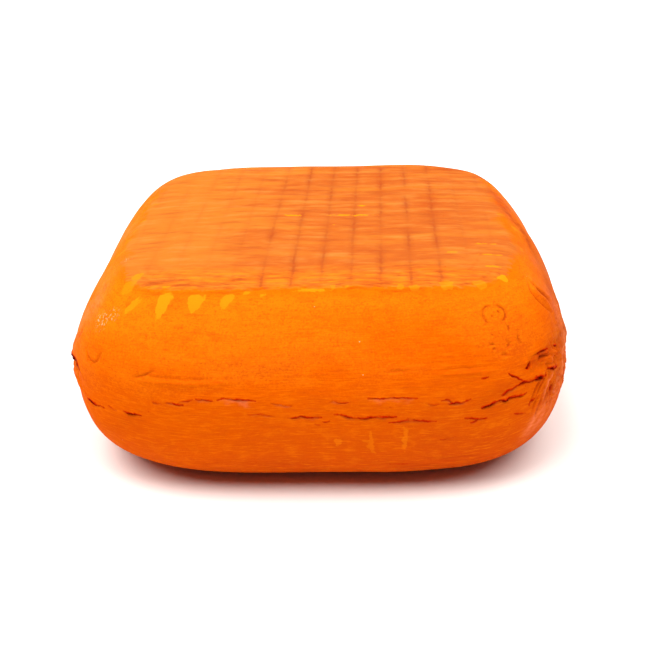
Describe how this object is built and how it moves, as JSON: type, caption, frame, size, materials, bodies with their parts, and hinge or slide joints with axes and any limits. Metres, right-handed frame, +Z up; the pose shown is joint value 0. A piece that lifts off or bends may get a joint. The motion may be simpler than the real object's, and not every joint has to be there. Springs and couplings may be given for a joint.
{
  "type": "whole cheese",
  "caption": "Whole square-pressed cheese with a flat top and base, a swollen belly, rounded corners and an orange rind; a free-standing food item.",
  "frame": {"origin": "centre of the flat base, on the surface that the cheese rests on", "axes": "+Z up through the middle of the top, -Y towards the front, +X to the right as seen from the front"},
  "size_m": [0.2, 0.198, 0.08],
  "materials": {
    "rind": "satin, oil-rubbed natural rind"
  },
  "bodies": {
    "root": {"cheese": "rind"}
  },
  "joints": []
}
